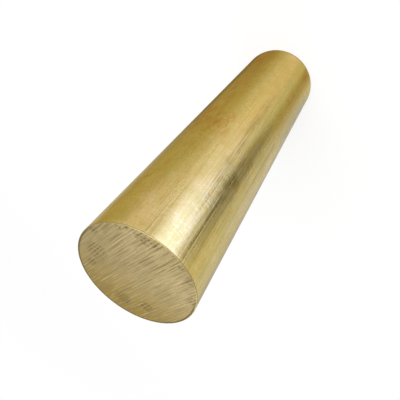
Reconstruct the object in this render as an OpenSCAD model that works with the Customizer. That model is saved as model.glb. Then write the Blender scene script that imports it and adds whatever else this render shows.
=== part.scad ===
// Cut length of drawn brass round rod, standing on one sawn end.
// The origin is on the floor, at the middle of the rod's foot. The rod's axis is Z.

/* [Rod] */
// Outside diameter of the drawn rod
rod_d = 50; // [10:1:120]
// Length over the two sawn faces
rod_l = 200; // [40:5:1000]

/* [Sawn ends] */
// Radius left on the rim of the foot when the burr is wiped off
foot_edge_r = 0.4; // [0.2:0.1:2]
// Radius left on the rim of the top when the burr is wiped off
top_edge_r = 0.4; // [0.2:0.1:2]

/* [Hidden] */
$fn = 96;
rod_r = rod_d / 2;

// Quarter disc that rounds one rim, with the square of metal between it and the axis
module rounded_rim(edge_r) {
    square([rod_r - edge_r, edge_r]);
    translate([rod_r - edge_r, 0])
        intersection() {
            circle(r = edge_r);
            square(edge_r);
        }
}

// Half section of the rod, with the axis on Y and the foot at the bottom
module half_section() {
    translate([0, foot_edge_r])
        square([rod_r, rod_l - foot_edge_r - top_edge_r]);
    translate([0, foot_edge_r])
        mirror([0, 1])
            rounded_rim(foot_edge_r);
    translate([0, rod_l - top_edge_r])
        rounded_rim(top_edge_r);
}

// The rod itself, one solid drawn piece with both ends sawn off square
module round_rod() {
    color([0.78, 0.66, 0.38])
        rotate_extrude()
            half_section();
}

round_rod();
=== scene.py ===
"""Models a cut length of drawn brass round rod with sawn ends, and the studio that it stands in.

The rod stands on its foot, with its axis on Z. Lengths are in metres, except where a comment
says millimetres. An azimuth is a direction round the axis, measured from the camera's side,
which is -Y, towards +X.
"""

import math

import bmesh
import bpy
from bpy.props import FloatProperty, FloatVectorProperty, IntProperty, PointerProperty
from mathutils import Matrix, Vector, noise


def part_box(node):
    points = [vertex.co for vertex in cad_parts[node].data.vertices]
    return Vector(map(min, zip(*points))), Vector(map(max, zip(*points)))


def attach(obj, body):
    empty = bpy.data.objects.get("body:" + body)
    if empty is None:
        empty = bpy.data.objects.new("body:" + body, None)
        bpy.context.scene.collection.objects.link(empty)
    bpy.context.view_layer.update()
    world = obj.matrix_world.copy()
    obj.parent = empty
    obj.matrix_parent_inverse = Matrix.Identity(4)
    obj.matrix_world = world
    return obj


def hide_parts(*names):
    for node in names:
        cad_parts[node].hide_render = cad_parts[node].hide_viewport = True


bl_info = {
    "name": "Brass Round Rod",
    "version": (1, 0, 0),
    "blender": (4, 5, 0),
    "location": "View3D > Sidebar > Brass Rod",
    "description": "A drawn brass round rod with sawn ends, in a small studio",
    "category": "Add Mesh",
}

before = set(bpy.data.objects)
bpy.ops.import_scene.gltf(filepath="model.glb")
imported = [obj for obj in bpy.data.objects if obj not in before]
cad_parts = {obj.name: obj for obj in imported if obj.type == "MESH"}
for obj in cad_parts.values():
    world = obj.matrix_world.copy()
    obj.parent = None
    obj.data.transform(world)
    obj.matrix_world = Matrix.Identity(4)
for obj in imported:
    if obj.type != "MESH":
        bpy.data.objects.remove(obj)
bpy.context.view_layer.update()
NODE = "round_rod"
LOW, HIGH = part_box(NODE)
MM = 0.001

# Where the camera stands: close above the top, so that it looks down the rod
CAMERA_PLACE = Vector((0.0, -125.9, 278.6)) * MM
# How it is turned, in degrees: its pan about Z, its tilt about X and its roll about its own axis
CAMERA_PAN, CAMERA_TILT, CAMERA_ROLL = 1.45, 43.65, -144.70

# The soft lamps, named as their powers are in the settings, and where they are in metres
LAMPS = {"softbox": (0.25, -0.35, 0.95), "back_light": (-0.9, 0.9, 0.7)}
LAMP_SIZE = 0.8

# The share of plain white in the floor that the camera and the metal see, and the squares of
# the two distances from the rod's axis between which the camera's share rises to 1
FLOOR_WHITE = 0.75
FLOOR_FADE = (0.02, 0.8)

# A fade that is so short that the edge of its card looks sharp
SHARP = 0.01
# How far each card lies above the one before it
CARD_GAP = 0.1 * MM
# The cards that the side mirrors, from the lowest up, as name, name of the colour in the
# settings, strength, and then what lay_card takes: azimuths, heights and fades
CARDS = (
    ("foot_card", "mat", 1.0, (-70, 80), (0, 50), (0.1, 0.1, SHARP, 0.5)),
    ("gold_card", "gold", 1.0, (11, 69), (0, 235), (0.36, 0.14, SHARP, 0.1)),
    ("brown_card", "brown", 1.0, (20, 92), (0, 110), (0.3, 0.1, SHARP, 0.8)),
    ("dark_card", "dark", 1.0, (52, 100), (0, 190), (0.3, 0.1, SHARP, 0.6)),
    ("dim_card", "dim", 1.0, (-90, -58), (0, 235), (SHARP, 0.45, SHARP, 0.1)),
    ("edge_card", "edge", 1.0, (69, 100), (0, 235), (0.2, 0.1, SHARP, 0.1)),
    ("near_card", "near", 1.5, (4, 44), (148, 265), (0.3, 0.45, 0.42, 0.1)),
    ("low_halo", "low_halo", 1.2, (-14, 20), (-40, 175), (0.34, 0.5, 0.2, 0.3)),
    ("halo", "halo", 1.6, (-14, 21), (90, 245), (0.34, 0.5, 0.4, 0.1)),
    ("shine", "shine", 7.2, (-11, 9), (144, 265), (0.3, 0.4, 0.6, 0.3)),
    ("glint", "shine", 7.2, (-17, 3), (162, 265), (0.3, 0.4, 0.4, 0.3)),
    ("flag_tail", "flag_tail", 1.0, (-50, -18), (0, 120), (0.6, 0.3, SHARP, 0.35)),
    ("flag", "flag", 1.0, (-34, -16), (70, 222), (0.35, 0.2, 0.45, 0.45)),
    ("blot", "flag", 1.0, (-27, -10), (146, 170), (0.3, 0.45, 0.35, 0.4)),
    ("foot_dim", "dim", 1.3, (-76, -44), (8, 96), (0.3, 0.4, 0.3, 0.3)),
)

# The cells that each sawn face is cut into, to take the saw marks: their width across the marks,
# their length along them, and the plain edge that is left round them all
CELL_WIDTH, CELL_LENGTH, CELL_EDGE = 0.22 * MM, 0.5 * MM, 0.15 * MM
# How far from each end the saw marks reach, and how far from it the waves have faded in, both
# as multiples of the rim's radius
MARKS_REACH, WAVES_REACH = 1.2, 4.0
# How much of its normal a face has along Z at least, to be cut into cells, and to take the sawn
# finish once the marks have tilted it
FLAT_NORMAL, SAWN_NORMAL = 0.999, 0.9

# The waves that add up to the saw's lines, as pitch in millimetres, share and start in radians
SAW_LINES = (
    (2.45, 0.14, 0.0),
    (1.27, 0.44, 0.8),
    (1.52, 0.36, 2.0),
    (0.95, 0.42, 1.1),
)
# The pitches in millimetres, along the saw's lines and across them, of the dashes of its chatter
CHATTER_PITCHES = (2.4, 1.3)
# Places on the sawn faces where the saw chattered, as x, y and reach in millimetres
CHATTER = (
    (14.1, -18.2, 1.7),
    (11.9, -20.7, 1.4),
    (7.3, -21.2, 2.0),
    (4.0, -21.3, 2.6),
    (0.6, -21.7, 1.6),
    (-11.0, -20.9, 1.8),
    (-16.4, -17.5, 2.6),
    (-21.9, -8.8, 2.6),
    (-23.2, 10.5, 1.6),
    (21.8, -9.0, 2.2),
    (17.0, 0.8, 4.8),
    (16.7, 8.8, 2.4),
    (-1.5, 17.0, 3.6),
    (-10.5, 12.5, 3.4),
)
# A part of the sawn faces that is darker, in the same form
DARKER_SPOT = (15.5, -3.0, 15.0)
# The way across a sawn face towards the part of its rim that is stained golden brown and painted
# with shade, and how far along it, in millimetres from the middle, the stain starts and is full
STAIN_AND_SHADE_WAY = (-0.12, 0.99)
STAIN_AND_SHADE_EDGE = (-7.0, 23.0)
# The painted shade on a sawn face, a thin dark line along its rim, which comes up between two radii
# and between two values of y, all in millimetres
RIM_SHADE_RADII = (23.7, 24.3)
RIM_SHADE_Y = (-12.0, -4.0)

# The azimuths in degrees between which the side's highlight falls, and has less tarnish: a painted
# highlight
HIGHLIGHT_AZIMUTHS = (-35.0, 20.0)
# Parts of the side, as two azimuths in degrees and two heights in millimetres: where the rod was
# dragged, where a pale reflection is painted on, and where its tarnish is the most spotted
DRAGGED = ((-58.0, 5.0), (75.0, 197.0))
PALE_REFLECTION_ZONE = ((-90.0, -34.0), (-90.0, 260.0))
TANNED = ((20.0, 85.0), (-60.0, 215.0))
# Painted shade on the side, in the same form, each with how dark it is: the darkest part of the
# mirrored dark band, and a dimmer patch below the highlight
PAINTED_DARK_BANDS = (
    ((-33.0, -11.0), (139.0, 168.0), 0.45),
    ((-18.0, 3.0), (136.0, 160.0), 0.22),
)
# Patches of warmer tarnish and of greener tarnish on the side, in the same form
WARM_PATCHES = (
    ((41.0, 61.0), (96.0, 130.0)),
    ((41.0, 60.0), (56.0, 104.0)),
    ((6.0, 46.0), (102.0, 134.0)),
    ((45.0, 57.0), (160.0, 182.0)),
    ((40.0, 62.0), (-4.0, 32.0)),
    ((-35.0, -22.0), (38.0, 64.0)),
    ((-38.0, -26.0), (0.0, 20.0)),
    ((-160.0, -120.0), (60.0, 130.0)),
)
GREEN_PATCHES = (
    ((24.0, 58.0), (132.0, 176.0)),
    ((-34.0, -12.0), (20.0, 120.0)),
    ((105.0, 150.0), (80.0, 190.0)),
)
# Clusters of scored lines on the side, in the same form, each with how dark its lines are
SCORED = (
    ((-15.0, 0.0), (45.0, 190.0), 0.85),
    ((-33.0, -15.0), (105.0, 230.0), 1.0),
    ((6.0, 20.0), (160.0, 225.0), 0.5),
    ((-52.0, -40.0), (70.0, 170.0), 0.5),
    ((95.0, 110.0), (20.0, 120.0), 0.7),
    ((158.0, 176.0), (90.0, 220.0), 0.8),
    ((-130.0, -118.0), (-20.0, 110.0), 0.7),
)


# Sizes and colours that a user would change


def colour_setting(name, description, default):
    return FloatVectorProperty(
        name=name, description=description, default=default, subtype="COLOR", min=0.0, max=1.0
    )


class RodSizes(bpy.types.PropertyGroup):
    """The rod's sizes, the first two of them from the frame, and the depth of its tool marks"""

    radius: FloatProperty(
        name="Radius",
        description="Radius of the drawn side",
        default=min(HIGH.x, HIGH.y, -LOW.x, -LOW.y),
        unit="LENGTH",
    )
    length: FloatProperty(
        name="Length",
        description="Length over the two sawn faces",
        default=HIGH.z - LOW.z,
        unit="LENGTH",
    )
    rim: FloatProperty(
        name="Rim",
        description="Radius of the rim where the burr is wiped off",
        default=0.4 * MM,
        unit="LENGTH",
    )
    sides: IntProperty(
        name="Sides",
        description="Number of flats that make up the round side",
        default=256,
        min=32,
    )
    rings: IntProperty(
        name="Rings",
        description="Number of cuts along the side, for its waviness",
        default=100,
        min=1,
        max=100,
    )
    saw_angle: FloatProperty(
        name="Saw angle",
        description="Direction of the saw marks across the top, from +X",
        default=math.radians(75.5),
        subtype="ANGLE",
    )
    saw_depth: FloatProperty(
        name="Saw depth",
        description="Depth of the deepest saw marks",
        default=0.12 * MM,
        unit="LENGTH",
    )
    wave_depth: FloatProperty(
        name="Wave depth",
        description="Depth of the waviness that drawing and straightening leave on the side",
        default=0.14 * MM,
        unit="LENGTH",
    )


class RodColours(bpy.types.PropertyGroup):
    """The colours of the brass, drawn and sawn"""

    drawn: colour_setting("Drawn side", "Colour of the clean drawn side", (0.59, 0.45, 0.145))
    olive: colour_setting("Olive tarnish", "Colour of the thin tarnish", (0.41, 0.325, 0.07))
    # Painted shade: the lower half is darker and more golden, where the side mirrors darker
    # surroundings
    golden: colour_setting("Golden lower shade", "Colour of the lower half", (0.54, 0.39, 0.085))
    warm: colour_setting("Warm tarnish", "Colour of the small warm spots", (0.50, 0.26, 0.04))
    green: colour_setting("Green tarnish", "Colour of the greener patches", (0.50, 0.44, 0.11))
    # Pale is the colour of scuffs and also of a painted pale reflection
    pale: colour_setting("Pale scuffs and sheen", "Colour of scuffs and of the painted pale reflection", (0.68, 0.58, 0.32))
    smear: colour_setting("Smears", "Colour where the side is smeared", (0.50, 0.44, 0.20))
    # The colour of the painted dark band: a painted reflection of dark surroundings
    smudge: colour_setting("Painted dark band", "Colour of the dark band painted on the side", (0.19, 0.125, 0.025))
    score: colour_setting("Scored lines", "Colour of the scored lines", (0.24, 0.165, 0.04))
    sawn: colour_setting("Sawn ends", "Colour of the sawn faces", (0.515, 0.408, 0.214))
    # Also the colour of the painted shade along the rims of the side
    groove: colour_setting("Saw grooves and rim shade", "Colour of the saw grooves and of the painted rim shade", (0.27, 0.21, 0.09))
    # The stain's colour, which is partly painted shade
    stain: colour_setting("Sawn stain and shade", "Colour of the stain and painted shade on the cut", (0.31, 0.20, 0.02))
    gouge: colour_setting("Gouges", "Colour of the saw's deepest marks", (0.15, 0.115, 0.04))
    edge_tint: colour_setting("Edge tint", "Tint at a glancing angle", (0.80, 0.77, 0.72))


class Studio(bpy.types.PropertyGroup):
    """The floor, the light and the camera, for which +X is on the right and +Y is behind"""

    floor: colour_setting("Floor", "Colour of the floor", (0.95, 0.95, 0.95))
    gold: colour_setting("Gold card", "Colour of the large card on the right", (0.71, 0.61, 0.28))
    brown: colour_setting("Brown card", "Colour of the card behind", (0.60, 0.44, 0.17))
    dark: colour_setting("Dark card", "Colour of the small card behind", (0.15, 0.10, 0.02))
    dim: colour_setting("Dim cards", "Colour of the two cards at the far left", (0.52, 0.56, 0.60))
    near: colour_setting("Near card", "Colour of the card close to the top", (0.78, 0.74, 1.0))
    edge: colour_setting("Edge card", "Colour of the card at the far right", (0.20, 0.19, 0.14))
    mat: colour_setting("Foot card", "Colour of the card by the foot", (1.0, 0.94, 0.68))
    flag: colour_setting("Flag", "Colour of the dark card on the left", (0.22, 0.17, 0.02))
    flag_tail: colour_setting("Flag's tail", "Colour of its near end", (0.68, 0.58, 0.29))
    halo: colour_setting("Halo", "Colour of the wide glowing card", (0.81, 0.78, 1.0))
    low_halo: colour_setting("Low halo", "Colour of its part by the foot", (1.0, 0.92, 0.88))
    shine: colour_setting("Shine", "Colour of the two small bright cards", (0.35, 0.42, 1.0))
    sky: FloatProperty(
        name="Sky",
        description="Strength of the even light from all round",
        default=0.6,
        min=0.0,
    )
    softbox: FloatProperty(
        name="Softbox",
        description="Power of the large soft lamp overhead",
        default=6.5,
        unit="POWER",
    )
    back_light: FloatProperty(
        name="Back light",
        description="Power of the soft lamp behind, which rakes the sawn face",
        default=5.0,
        unit="POWER",
    )
    lens: FloatProperty(
        name="Lens",
        description="Focal length of the camera, on a sensor 36 mm wide",
        default=35.36,
        unit="CAMERA",
    )


# Nodes, and arithmetic on their sockets


class Value:
    """A number in a node tree. Arithmetic on it adds Math nodes."""

    def __init__(self, surface, socket):
        self.surface = surface
        self.socket = socket

    def __add__(self, other):
        return self.surface.math("ADD", self, other)

    __radd__ = __add__

    def __sub__(self, other):
        return self.surface.math("SUBTRACT", self, other)

    def __rsub__(self, other):
        return self.surface.math("SUBTRACT", other, self)

    def __mul__(self, other):
        return self.surface.math("MULTIPLY", self, other)

    __rmul__ = __mul__

    def __truediv__(self, other):
        return self.surface.math("DIVIDE", self, other)

    def clamped(self):
        """The number itself, but no lower than 0 and no higher than 1."""
        return self.surface.math("ADD", self, 0.0, clamp=True)

    def between(self, low, high):
        """0 below low and 1 above high, with a smooth step in between. Low may be above high."""
        inputs = {"Value": self, "From Min": low, "From Max": high}
        return self.surface.add(
            "ShaderNodeMapRange", {"interpolation_type": "SMOOTHSTEP"}, inputs
        )


class Surface:
    """The node tree of one material or world."""

    def __init__(self, owner):
        owner.use_nodes = True
        self.tree = owner.node_tree
        self.tree.nodes.clear()

    def add(self, kind, settings=None, inputs=None, output=0):
        """Adds a node, fills in its settings and then its sockets, and returns one output."""
        node = self.tree.nodes.new(kind)
        for name, value in (settings or {}).items():
            setattr(node, name, value)
        for name, value in (inputs or {}).items():
            socket = node.inputs[name]
            if isinstance(value, Value):
                self.tree.links.new(value.socket, socket)
            else:
                socket.default_value = value
        return Value(self, node.outputs[output]) if node.outputs else None

    def math(self, operation, *numbers, clamp=False):
        """The result of a Math node. Clamp keeps it from 0 to 1."""
        settings = {"operation": operation, "use_clamp": clamp}
        return self.add("ShaderNodeMath", settings, dict(enumerate(numbers)))

    def mix(self, factor, low, high):
        """Mixes two colours. The numbers are the Mix node's own sockets for colours."""
        colours = {
            name: value if isinstance(value, Value) else (*value, 1.0)
            for name, value in ((6, low), (7, high))
        }
        return self.add("ShaderNodeMix", {"data_type": "RGBA"}, {0: factor, **colours}, 2)

    def axes(self, output):
        """The three numbers of one of the texture coordinates."""
        place = self.add("ShaderNodeTexCoord", output=output)
        return [
            self.add("ShaderNodeSeparateXYZ", {}, {"Vector": place}, axis) for axis in "XYZ"
        ]

    def noise(self, size, angle=0.0, detail=2.0, roughness=0.5, seed=0.0):
        """Noise whose grains have a size in millimetres along X, Y and Z, turned about Z."""
        place = self.add("ShaderNodeTexCoord", output="Object")
        turned = self.add(
            "ShaderNodeVectorRotate",
            {"rotation_type": "Z_AXIS"},
            {"Vector": place, "Angle": -angle},
        )
        grain = tuple(length * MM for length in size)
        scaled = self.add("ShaderNodeVectorMath", {"operation": "DIVIDE"}, {0: turned, 1: grain})
        moved = self.add("ShaderNodeVectorMath", {"operation": "ADD"}, {0: scaled, 1: (seed,) * 3})
        inputs = {"Vector": moved, "Scale": 1.0, "Detail": detail, "Roughness": roughness}
        return self.add("ShaderNodeTexNoise", {}, inputs)

    def brass(self, edge_tint, **inputs):
        """Ends the tree in a metal. Spaces in the names of its sockets are written as _."""
        named = {name.replace("_", " "): value for name, value in inputs.items()}
        fixed = {"Metallic": 1.0, "Specular Tint": (*edge_tint, 1.0)}
        shader = self.add("ShaderNodeBsdfPrincipled", {}, {**fixed, **named})
        self.add("ShaderNodeOutputMaterial", {}, {"Surface": shader})

    def bumped(self, height, distance):
        """A normal bent by a height from 0 to 1 that stands for a distance in metres."""
        return self.add("ShaderNodeBump", {}, {"Height": height, "Distance": distance})


def material(name):
    """A new material, and the surface to build it on."""
    made = bpy.data.materials.new(name)
    return made, Surface(made)


# Modelling


def deselect_all():
    if bpy.context.mode != "OBJECT":
        bpy.ops.object.mode_set(mode="OBJECT")
    bpy.ops.object.select_all(action="DESELECT")


def pick(kind, wanted):
    """In edit mode, selects just the shown edges or faces that the test wants."""
    bpy.ops.mesh.select_mode(type=kind)
    bpy.ops.mesh.select_all(action="DESELECT")
    shape = bmesh.from_edit_mesh(bpy.context.edit_object.data)
    parts = {"EDGE": shape.edges, "FACE": shape.faces}[kind]
    for part in parts:
        if not part.hide and wanted(part):
            part.select_set(True)
    shape.select_flush_mode()
    bmesh.update_edit_mesh(bpy.context.edit_object.data)


def rise(edge):
    """How far an edge climbs."""
    return abs(edge.verts[0].co.z - edge.verts[1].co.z)


def is_cut(face, end):
    """Whether a face lies in the sawn face that looks along end, which is +1 or -1."""
    return face.normal.z * end > FLAT_NORMAL


def score_cut(sizes, end):
    """Cuts one sawn face into cells that are narrow across the saw marks and long along them."""
    pick("FACE", lambda face: is_cut(face, end))
    bpy.ops.mesh.inset(thickness=CELL_EDGE)
    bpy.ops.mesh.hide(unselected=True)
    for step, turn in ((CELL_WIDTH, math.pi / 2), (CELL_LENGTH, 0.0)):
        angle = sizes.saw_angle + turn
        normal = Vector((math.cos(angle), math.sin(angle), 0.0))
        count = int(sizes.radius / step)
        for i in range(-count, count + 1):
            bpy.ops.mesh.select_all(action="SELECT")
            bpy.ops.mesh.bisect(plane_co=normal * (i * step), plane_no=normal)
    bpy.ops.mesh.reveal(select=False)


def press_in(rod, depth, direction, share):
    """Moves each point by depth times the share, from 0 to 1, that the function gives it."""
    group = rod.vertex_groups.new(name="pressed")
    for vertex in rod.data.vertices:
        weight = share(vertex.co)
        if weight > 0.0:
            group.add([vertex.index], min(weight, 1.0), "REPLACE")
    rod.select_set(True)
    bpy.context.view_layer.objects.active = rod
    bpy.ops.object.modifier_add(type="DISPLACE")
    press = rod.modifiers[-1]
    press.vertex_group = group.name
    press.direction = direction
    press.strength = depth
    press.mid_level = 0.0
    bpy.ops.object.modifier_apply(modifier=press.name)
    rod.vertex_groups.clear()


def smooth_step(value, low, high):
    """A Value's own step from low to high, which also takes a plain number."""
    if isinstance(value, Value):
        return value.between(low, high)
    share = min(max((value - low) / (high - low), 0.0), 1.0)
    return share * share * (3.0 - 2.0 * share)


def within(value, low, high, low_fade, high_fade):
    """1 between low and high, and 0 outside them. Each end fades towards the inside."""
    return smooth_step(value, low, low + low_fade) * smooth_step(value, high, high - high_fade)


def zone(azimuth, height, azimuths, heights):
    """1 in the middle of a part of the side, which fades to 0 at its edges."""
    side_fade = 0.35 * (azimuths[1] - azimuths[0])
    end_fade = 0.3 * (heights[1] - heights[0])
    across = within(azimuth, *azimuths, side_fade, side_fade)
    return across * within(height, *heights, end_fade, end_fade)


def darkness(azimuth, height, parts):
    """How dark a place on the side is, from parts of it that each end in how dark they are."""
    return sum(dark * zone(azimuth, height, *part) for *part, dark in parts)


def grains(place, size, seed=0.0):
    """Noise from 0 to 1 at a place, whose grains have a size along X, Y and Z."""
    scaled = [along / grain + seed for along, grain in zip(place, size)]
    return 0.5 + 0.5 * noise.noise(Vector(scaled))


def sine(angle):
    """The sine of an angle in radians, which is a Value or a plain number."""
    if isinstance(angle, Value):
        return angle.surface.math("SINE", angle)
    return math.sin(angle)


def along_and_across(x, y, angle):
    """A place on a sawn face, measured along the saw's lines and across them."""
    return (
        x * math.cos(angle) + y * math.sin(angle),
        y * math.cos(angle) - x * math.sin(angle),
    )


def saw_lines(across):
    """The height of the saw's lines, within 1.4 of 0, at a distance across in millimetres."""
    return sum(
        share * sine(across * (math.tau / pitch) + start) for pitch, share, start in SAW_LINES
    )


def chatter_dashes(along, across):
    """How deep the uneven rows of dashes that chatter leaves are, from -1.2 to 1."""
    wobble = sine(along * 0.5 + across * 0.8)
    dashes = sine(along * (math.tau / CHATTER_PITCHES[0]) + across * 0.9 + wobble * 1.4)
    rows = sine(across * (math.tau / CHATTER_PITCHES[1]) + wobble * 0.7)
    return 0.3 * dashes + 0.7 * rows + 0.4 * dashes * rows - 0.4


def stain_and_shade_side(x, y):
    """How far a place on a sawn face lies towards the stained and shaded part of its rim, in
    millimetres.
    """
    return x * STAIN_AND_SHADE_WAY[0] + y * STAIN_AND_SHADE_WAY[1]


def saw_force(aside):
    """How hard the saw pressed, from 0.5 close to a sawn face's middle to 1.25 beyond 12 mm."""
    return 0.5 + 0.75 * smooth_step(aside * aside, 2.0**2, 12.0**2)


def saw_bite(co, angle, end):
    """About 0 to 1, how deep the saw bit at a point of an end. Its lines are faint mid-face."""
    x, y = co.x / MM, co.y / MM
    along, across = along_and_across(x, y, angle)
    place = (along, across, 0.0)
    patch = smooth_step(grains(place, (8.0, 0.8, 1.0), 5.3 * end), 0.35, 0.65)
    drags = grains(place, (18.0, 0.8, 1.0), 8.7 * end) - 0.5
    gaps = (math.hypot(x - spot_x, y - spot_y) / reach for spot_x, spot_y, reach in CHATTER)
    chatter = patch * smooth_step(min(gaps), 1.1, 0.4)
    force = saw_force(stain_and_shade_side(x, y))
    lines = force * patch * (0.20 * saw_lines(across) + 0.50 * drags)
    return 0.45 + lines + 0.35 * chatter * chatter_dashes(along, across)


def press_saw_marks(rod, sizes, end):
    """Presses the saw's marks into one end, rim included."""
    plane = HIGH.z if end > 0 else LOW.z
    fade = MARKS_REACH * sizes.rim

    def share(co):
        gap = 1.0 - abs(co.z - plane) / fade
        return gap * saw_bite(co, sizes.saw_angle, end) if gap > 0.0 else 0.0

    press_in(rod, -end * sizes.saw_depth, "Z", share)


def press_waves(rod, sizes):
    """Presses long shallow waves and a few dents into the side, and hollows where it dragged."""
    band = WAVES_REACH * sizes.rim

    def share(co):
        place = co / MM
        azimuth = math.degrees(math.atan2(co.x, -co.y))
        long_waves = grains(place, (12.0, 12.0, 70.0), 3.0)
        streaks = grains(place, (4.0, 4.0, 45.0), 4.0)
        dents = grains(place, (8.0, 8.0, 7.0), 5.0)
        hollows = grains(place, (9.0, 9.0, 6.0), 8.0) * zone(azimuth, place.z, *DRAGGED)
        fade = min((co.z - LOW.z) / band, (HIGH.z - co.z) / band, 1.0)
        return fade * (0.34 * long_waves + 0.09 * streaks + 0.14 * dents + 0.43 * hollows)

    press_in(rod, -sizes.wave_depth, "NORMAL", share)


# Materials


def side_places(surface):
    """The azimuth in degrees and the height in millimetres of a point of the side."""
    x, y, z = surface.axes("Object")
    return surface.math("ARCTAN2", x, -1.0 * y) * math.degrees(1.0), z / MM


def drawn_material(colours):
    """Drawn brass: long fine lines, scored clusters, cloudy tarnish and faint cross ripples, with
    painted shade and reflections.
    """
    made, surface = material("drawn_brass")
    azimuth, height = side_places(surface)
    fine = surface.noise((0.45, 0.45, 30.0), detail=2.0)
    streaks = surface.noise((1.4, 1.4, 60.0), detail=3.0, seed=4.0)
    bands = surface.noise((5.0, 5.0, 150.0), detail=2.0, seed=9.0)
    clouds = surface.noise((8.0, 8.0, 12.0), detail=5.0, roughness=0.6, seed=2.0)
    spots = surface.noise((3.0, 3.0, 11.0), detail=3.0, roughness=0.6, seed=13.0)
    greened = surface.noise((5.0, 5.0, 14.0), detail=2.0, seed=25.0)
    grain = surface.noise((0.8, 0.8, 1.0), detail=2.0, seed=17.0)
    ripples = surface.noise((6.0, 6.0, 1.1), detail=2.0, seed=6.0)
    dents = surface.noise((3.2, 3.2, 1.5), detail=2.0, seed=7.0)
    smears = surface.noise((4.5, 4.5, 5.0), detail=3.0, seed=29.0)
    lines = surface.noise((0.5, 0.5, 80.0), detail=1.0, seed=12.0)
    dragged = zone(azimuth, height, *DRAGGED)
    warmed = sum(zone(azimuth, height, *patch) for patch in WARM_PATCHES)
    greenish = sum(zone(azimuth, height, *patch) for patch in GREEN_PATCHES)
    clusters = darkness(azimuth, height, SCORED)
    skipped = spots.between(0.54, 0.40)
    scored = lines.between(0.47, 0.57) * clusters.clamped() * (1.0 - 0.55 * skipped)

    # Tarnish in patches and spots, pale scuffs, and a painted pale reflection down one side
    stain = (clouds * 0.5 + bands * 0.4 + height.between(110.0, 0.0) * 0.06).between(0.40, 0.60)
    colour = surface.mix(stain * 0.65, colours.drawn, colours.olive)
    # Painted shade: darker and more golden towards the foot
    colour = surface.mix(height.between(150.0, 90.0) * 0.65, colour, colours.golden)
    # Painted reflection: a pale band down one side, where the side mirrors bright surroundings
    pale_reflection = zone(azimuth, height, *PALE_REFLECTION_ZONE) * (0.30 + 0.50 * clouds.between(0.42, 0.58))
    colour = surface.mix(pale_reflection, colour, colours.pale)
    # Painted highlight: less tarnish, and a weaker dark rim line, where the highlight falls
    in_highlight = within(azimuth, *HIGHLIGHT_AZIMUTHS, 20.0, 20.0)
    tanned = 0.30 + 0.70 * zone(azimuth, height, *TANNED) - 0.22 * in_highlight
    green_share = greened.between(0.46, 0.62) * (0.15 + 0.50 * tanned) + greenish * 0.30
    colour = surface.mix(green_share.clamped(), colour, colours.green)
    warm_share = spots.between(0.50, 0.66) * tanned * 0.5 + spots.between(0.38, 0.58) * warmed * 0.7
    colour = surface.mix(warm_share.clamped(), colour, colours.warm)
    colour = surface.mix(spots.between(0.42, 0.30) * 0.20, colour, colours.pale)
    rippled = ripples.between(0.48, 0.62) * clouds.between(0.62, 0.42)
    colour = surface.mix(rippled * 0.22, colour, colours.pale)
    colour = surface.mix(grain.between(0.50, 0.68) * (0.42 + 0.25 * tanned), colour, colours.olive)
    colour = surface.mix(streaks.between(0.54, 0.66) * 0.25, colour, colours.olive)

    # Smears, the painted dark band, fine lines and scored lines
    smeared = smears.between(0.38, 0.58) * dragged
    colour = surface.mix(smeared * 0.45, colour, colours.smear)
    # Painted shade: the darkest part of the mirrored dark band, and a dimmer patch below the
    # highlight, broken up by the smears
    dark_band_share = darkness(azimuth, height, PAINTED_DARK_BANDS) * (0.25 + 0.75 * smears.between(0.60, 0.40))
    colour = surface.mix(dark_band_share, colour, colours.smudge)
    fine_share = 0.14 + 0.26 * dragged
    colour = surface.mix(fine.between(0.52, 0.66) * fine_share, colour, colours.score)
    colour = surface.mix(scored * 0.75, colour, colours.score)

    # Painted shade: a dark line along the top's rim, weaker where the highlight falls, and a softer
    # one above the foot's
    top = HIGH.z / MM
    top_rim_shade = height.between(top - 0.6, top - 0.3) * (0.85 - 0.30 * in_highlight)
    rim = (height.between(2.2, 0.4) * 0.6 + top_rim_shade).clamped()
    colour = surface.mix(rim, colour, colours.groove)

    roughness = 0.22 + 0.06 * clouds.between(0.3, 0.7) + 0.08 * streaks + 0.12 * rim
    relief = fine * 0.12 + streaks * 0.30 + grain * 0.05 + ripples * 0.08
    relief = relief + dents * dragged * 1.6 - scored * 0.6
    normal = surface.bumped(relief, 0.06 * MM)
    surface.brass(colours.edge_tint, Base_Color=colour, Roughness=roughness, Normal=normal)
    return made


def spot(gap_x, gap_y, reach):
    """1 in the middle of a round spot, which fades to 0 just outside its reach."""
    edge = reach * reach
    return (gap_x * gap_x + gap_y * gap_y).between(1.2 * edge, 0.2 * edge)


def chatter_spots(x, y):
    """From 0 to 1, how near a point of a sawn face is to the middle of a chatter mark."""
    return sum(spot(x - spot_x, y - spot_y, reach) for spot_x, spot_y, reach in CHATTER).clamped()


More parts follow.
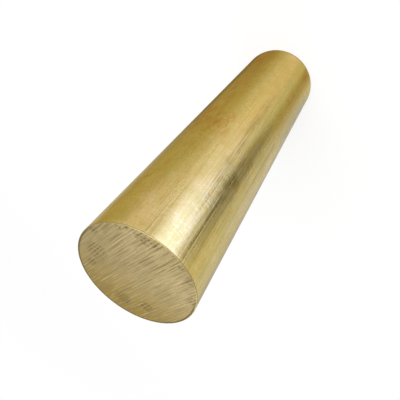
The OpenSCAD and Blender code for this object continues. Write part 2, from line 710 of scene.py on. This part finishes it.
def sawn_material(colours, angle):
    """Sawn brass: close broken lines along the cut, chatter marks and a golden brown stain that is
    partly painted shade.
    """
    made, surface = material("sawn_brass")
    x, y, _ = surface.axes("Object")
    x, y = x / MM, y / MM
    along, across = along_and_across(x, y, angle)
    broken = surface.noise((8.0, 0.8, 1.0), angle, detail=0.0, seed=1.0).between(0.40, 0.60)
    worn = surface.noise((6.0, 0.9, 1.0), angle, detail=0.0, seed=31.0).between(0.40, 0.58)
    drags = surface.noise((18.0, 0.7, 1.0), angle, detail=0.0, seed=21.0)
    hairs = surface.noise((14.0, 0.4, 1.0), angle, detail=0.0, seed=5.0)
    clouds = surface.noise((7.0, 7.0, 7.0), detail=4.0, seed=3.0)
    grain = surface.noise((1.1, 0.45, 1.0), angle, detail=2.0, seed=8.0)
    aside = stain_and_shade_side(x, y)
    force = saw_force(aside)
    lines = saw_lines(across)
    chatter = chatter_spots(x, y)

    # The clean cut, with its clouds, a darker part and its stain, which is partly painted shade
    # Partly a real stain and partly painted shade: golden brown towards one side of the rim
    stain = (aside + 14.0 * (clouds - 0.5)).between(*STAIN_AND_SHADE_EDGE)
    darker_x, darker_y, darker_reach = DARKER_SPOT
    # Darker over a broad part of the cut
    darker_share = spot(x - darker_x, y - darker_y, darker_reach)
    colour = surface.mix(clouds.between(0.55, 0.40) * 0.20, colours.sawn, colours.groove)
    colour = surface.mix(darker_share * 0.35, colour, colours.groove)
    colour = surface.mix(stain * 0.9, colour, colours.stain)

    # The lines along the cut, and the chatter across them
    grooved = lines.between(-0.1, 0.8) * 0.55 + drags.between(0.48, 0.62) * 0.45
    colour = surface.mix((grooved * broken * force).clamped(), colour, colours.groove)
    colour = surface.mix(hairs.between(0.48, 0.60) * (0.25 + 0.35 * worn), colour, colours.groove)
    raised = lines.between(-0.1, -0.8) * 0.22 + drags.between(0.46, 0.34) * 0.16
    colour = surface.mix((raised * worn * force).clamped(), colour, colours.pale)
    colour = surface.mix(grain.between(0.48, 0.64) * 0.30, colour, colours.groove)
    dash = chatter_dashes(along, across).between(-0.75, 0.2)
    mark = chatter * (0.10 + dash * (0.36 + 0.36 * worn))
    colour = surface.mix(mark, colour, colours.gouge)

    # Painted shade: a thin dark line along the part of the rim that lies away from the camera
    from_axis = surface.math("SQRT", x * x + y * y)
    burr = from_axis.between(*RIM_SHADE_RADII) * y.between(*RIM_SHADE_Y)
    colour = surface.mix(burr * 0.9, colour, colours.gouge)

    roughness = 0.40 + 0.14 * clouds
    relief = hairs * 0.3 + grain * 0.15 - mark * 0.5
    normal = surface.bumped(relief, 0.06 * MM)
    surface.brass(colours.edge_tint, Base_Color=colour, Roughness=roughness, Normal=normal)
    return made


def wear_materials(rod, colours, sizes):
    """Puts the drawn finish on the side and the rims, and the sawn finish on both cuts."""
    rod.data.materials.clear()
    rod.data.materials.append(drawn_material(colours))
    rod.data.materials.append(sawn_material(colours, sizes.saw_angle))
    for face in rod.data.polygons:
        face.material_index = 1 if abs(face.normal.z) > SAWN_NORMAL else 0


class ROD_OT_model_rod(bpy.types.Operator):
    """Model the drawn rod with its sawn ends"""

    bl_idname = "brass_rod.model_rod"
    bl_label = "Model Rod"

    def execute(self, context):
        sizes = context.scene.rod_sizes
        deselect_all()
        bpy.ops.mesh.primitive_cylinder_add(
            vertices=sizes.sides,
            radius=sizes.radius,
            depth=sizes.length,
            location=(0.0, 0.0, LOW.z + sizes.length / 2),
        )
        bpy.ops.object.transform_apply(location=True)
        rod = context.object
        rod.name = "drawn_rod"
        bpy.ops.object.mode_set(mode="EDIT")
        pick("EDGE", lambda edge: rise(edge) < sizes.rim)
        bpy.ops.mesh.bevel(offset=sizes.rim, segments=4, profile=0.5, affect="EDGES")
        for end in (1, -1):
            score_cut(sizes, end)
        pick("EDGE", lambda edge: rise(edge) > sizes.length / 2)
        bpy.ops.mesh.subdivide(number_cuts=sizes.rings)
        bpy.ops.object.mode_set(mode="OBJECT")
        for end in (1, -1):
            press_saw_marks(rod, sizes, end)
        press_waves(rod, sizes)
        wear_materials(rod, context.scene.rod_colours, sizes)
        bpy.ops.object.shade_smooth_by_angle(angle=math.radians(40))
        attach(rod, "root")
        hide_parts(NODE)
        return {"FINISHED"}


# Studio


def shows_background(surface):
    """1 where a ray from the camera, or one that metal or glass has turned, meets the surface."""
    rays = [
        surface.add("ShaderNodeLightPath", output=name)
        for name in ("Is Camera Ray", "Is Glossy Ray", "Is Transmission Ray")
    ]
    return (rays[0] + rays[1] + rays[2]).clamped()


def lay_floor(studio):
    """A wide pale floor that looks white and still keeps the rod's soft shadow."""
    bpy.ops.mesh.primitive_plane_add(size=8.0, location=(0.0, 0.0, LOW.z))
    floor = bpy.context.object
    floor.name = "studio_floor"
    made, surface = material("floor_paper")
    paper = surface.add(
        "ShaderNodeBsdfPrincipled",
        {},
        {"Base Color": (*studio.floor, 1.0), "Roughness": 0.9, "Specular IOR Level": 0.0},
    )
    white = surface.add("ShaderNodeEmission", {}, {"Color": (1.0, 1.0, 1.0, 1.0), "Strength": 1.0})
    x, y, _ = surface.axes("Object")
    far = (x * x + y * y).between(*FLOOR_FADE)
    camera_ray = surface.add("ShaderNodeLightPath", output="Is Camera Ray")
    share = shows_background(surface) * FLOOR_WHITE + camera_ray * far * (1.0 - FLOOR_WHITE)
    shown = surface.add("ShaderNodeMixShader", {}, {0: share, 1: paper, 2: white})
    surface.add("ShaderNodeOutputMaterial", {}, {"Surface": shown})
    floor.data.materials.append(made)


def light_sky(scene, studio):
    """An even sky that looks white and lights the rod softly from all round."""
    scene.world = bpy.data.worlds.new("studio_sky")
    surface = Surface(scene.world)
    strength = studio.sky + (1.0 - studio.sky) * shows_background(surface)
    sky = surface.add(
        "ShaderNodeBackground", {}, {"Color": (1.0, 1.0, 1.0, 1.0), "Strength": strength}
    )
    surface.add("ShaderNodeOutputWorld", {}, {"Surface": sky})


def add_lamp(name, place, power):
    """A square soft lamp at a place, turned to the middle of the rod."""
    bpy.ops.object.light_add(type="AREA", location=place)
    lamp = bpy.context.object
    lamp.name = name
    lamp.data.size = LAMP_SIZE
    lamp.data.energy = power
    middle = (LOW + HIGH) / 2
    lamp.rotation_euler = (middle - Vector(place)).to_track_quat("-Z", "Y").to_euler()
    lamp.visible_camera = False


def mirrored(radius, azimuth, height):
    """The floor point that the camera sees mirrored in the side, at an azimuth and a height."""
    outward = Vector((math.sin(azimuth), -math.cos(azimuth)))
    point = outward * radius
    sight = point - CAMERA_PLACE.xy
    reach = sight.length * height / (CAMERA_PLACE.z - LOW.z - height)
    bounced = sight - 2.0 * sight.dot(outward) * outward
    return point + bounced.normalized() * reach


def lay_card(name, level, colour, strength, azimuths, heights, fades):
    """Lays a glowing card with soft edges on the floor, for the metal alone to mirror.

    The card lies where the camera sees it in the patch of the side that is given by two
    azimuths in degrees and two heights in millimetres. Fades are the shares of its width and
    of its length over which it fades in from each of those, in the same order. Level keeps
    cards that cross apart.
    """
    radius = bpy.context.scene.rod_sizes.radius
    bpy.ops.mesh.primitive_grid_add(x_subdivisions=16, y_subdivisions=16, size=1.0)
    card = bpy.context.object
    card.name = name
    for vertex in card.data.vertices:
        azimuth = azimuths[0] + (azimuths[1] - azimuths[0]) * (vertex.co.x + 0.5)
        height = heights[0] + (heights[1] - heights[0]) * (vertex.co.y + 0.5)
        place = mirrored(radius, math.radians(azimuth), height * MM)
        vertex.co = (*place, LOW.z + level * CARD_GAP)

    made, surface = material(name)
    across, along, _ = surface.axes("UV")
    cover = within(across, 0.0, 1.0, *fades[:2]) * within(along, 0.0, 1.0, *fades[2:])
    glow = surface.add("ShaderNodeEmission", {}, {"Color": (*colour, 1.0), "Strength": strength})
    clear = surface.add("ShaderNodeBsdfTransparent")
    shown = surface.add("ShaderNodeMixShader", {}, {0: cover, 1: clear, 2: glow})
    surface.add("ShaderNodeOutputMaterial", {}, {"Surface": shown})
    card.data.materials.append(made)
    card.visible_camera = False
    card.visible_diffuse = False
    card.visible_transmission = False
    card.visible_shadow = False


def place_camera(scene, studio):
    """The photograph's viewing angle: looking down the rod, and rolled."""
    camera = bpy.data.objects.new("camera", bpy.data.cameras.new("camera"))
    scene.collection.objects.link(camera)
    camera.data.lens = studio.lens
    camera.data.sensor_width = 36.0
    camera.data.clip_start = 0.01
    pan = Matrix.Rotation(math.radians(CAMERA_PAN), 4, "Z")
    tilt = Matrix.Rotation(math.radians(CAMERA_TILT), 4, "X")
    roll = Matrix.Rotation(math.radians(CAMERA_ROLL), 4, "Z")
    camera.matrix_world = Matrix.Translation(CAMERA_PLACE) @ (pan @ tilt @ roll)
    scene.camera = camera


class ROD_OT_set_studio(bpy.types.Operator):
    """Lay the floor, light it and place the camera"""

    bl_idname = "brass_rod.set_studio"
    bl_label = "Set Studio"

    def execute(self, context):
        scene = context.scene
        studio = scene.rod_studio
        deselect_all()
        scene.view_settings.view_transform = "Standard"
        lay_floor(studio)
        light_sky(scene, studio)
        for name, place in LAMPS.items():
            add_lamp(name, place, getattr(studio, name))
        for level, (name, colour, *patch) in enumerate(CARDS, start=1):
            lay_card(name, level, getattr(studio, colour), *patch)
        place_camera(scene, studio)
        return {"FINISHED"}


class ROD_PT_panel(bpy.types.Panel):
    """The rod's tools, sizes and colours"""

    bl_idname = "ROD_PT_panel"
    bl_label = "Brass Rod"
    bl_space_type = "VIEW_3D"
    bl_region_type = "UI"
    bl_category = "Brass Rod"

    def draw(self, context):
        layout = self.layout
        layout.operator(ROD_OT_model_rod.bl_idname)
        layout.operator(ROD_OT_set_studio.bl_idname)
        for name in GROUPS:
            group = getattr(context.scene, name)
            box = layout.box()
            for prop in group.bl_rna.properties:
                if prop.identifier in group.__annotations__:
                    box.prop(group, prop.identifier)


GROUPS = {"rod_sizes": RodSizes, "rod_colours": RodColours, "rod_studio": Studio}
CLASSES = (RodSizes, RodColours, Studio, ROD_OT_model_rod, ROD_OT_set_studio, ROD_PT_panel)


def register():
    for cls in CLASSES:
        bpy.utils.register_class(cls)
    for name, group in GROUPS.items():
        setattr(bpy.types.Scene, name, PointerProperty(type=group))


def unregister():
    for name in GROUPS:
        delattr(bpy.types.Scene, name)
    for cls in reversed(CLASSES):
        bpy.utils.unregister_class(cls)


def main():
    register()
    bpy.ops.brass_rod.model_rod()
    bpy.ops.brass_rod.set_studio()


if __name__ == "__main__":
    main()
